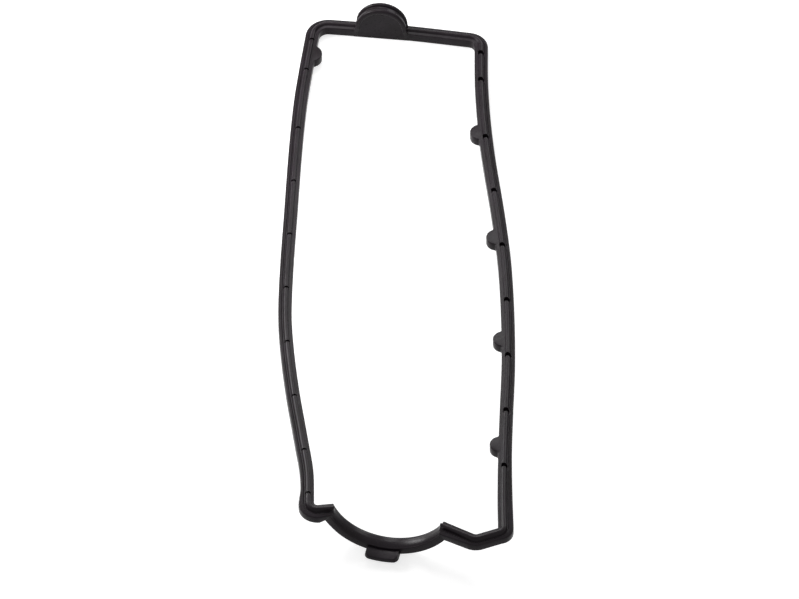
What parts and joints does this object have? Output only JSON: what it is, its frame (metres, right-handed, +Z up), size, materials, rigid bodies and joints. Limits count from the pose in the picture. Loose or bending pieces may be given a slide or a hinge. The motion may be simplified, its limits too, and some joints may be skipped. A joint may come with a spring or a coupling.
{
  "type": "valve cover gasket",
  "caption": "Moulded rubber valve cover gasket: a long closed loop with a sealing bead, inner lobes, a half-moon plug at one end and a dipped arch with a tab at the other.",
  "frame": {"origin": "under the middle of the bounding box, at the level of the arch's underside, which is the lowest part", "axes": "+Y along the loop, from the arch towards the half-moon plug; +Z up, the way that the sealing bead faces and the plug stands; +X across the loop, towards the side with four lobes"},
  "size_m": [0.1392, 0.4166, 0.0461],
  "materials": {
    "rubber_black": "satin moulded black rubber"
  },
  "bodies": {
    "root": {"gasket": "rubber_black"}
  },
  "joints": []
}
